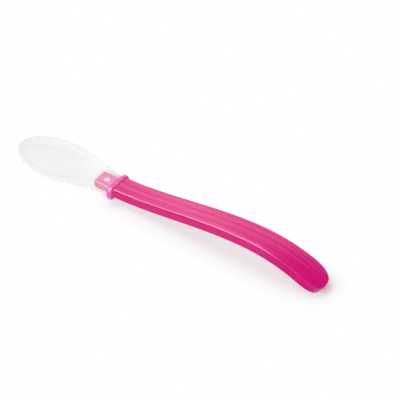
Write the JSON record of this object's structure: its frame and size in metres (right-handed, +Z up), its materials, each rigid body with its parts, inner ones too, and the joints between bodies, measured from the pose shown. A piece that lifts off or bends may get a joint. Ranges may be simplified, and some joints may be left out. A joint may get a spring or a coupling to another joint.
{
  "type": "baby spoon",
  "caption": "Long-handled baby spoon: a soft milky bowl moulded over the pierced tang of a rigid, arched, translucent handle with a collar.",
  "frame": {"origin": "on the table that the spoon lies on, under the middle of its length", "axes": "+X from the bowl to the tail, +Y across the spoon, +Z up, with the dish open upwards"},
  "size_m": [0.1722, 0.0256, 0.0154],
  "materials": {
    "handle": "translucent pink moulded plastic, polished",
    "bowl": "milky translucent soft silicone, smooth satin"
  },
  "bodies": {
    "root": {"handle": "handle", "bowl": "bowl"}
  },
  "joints": []
}
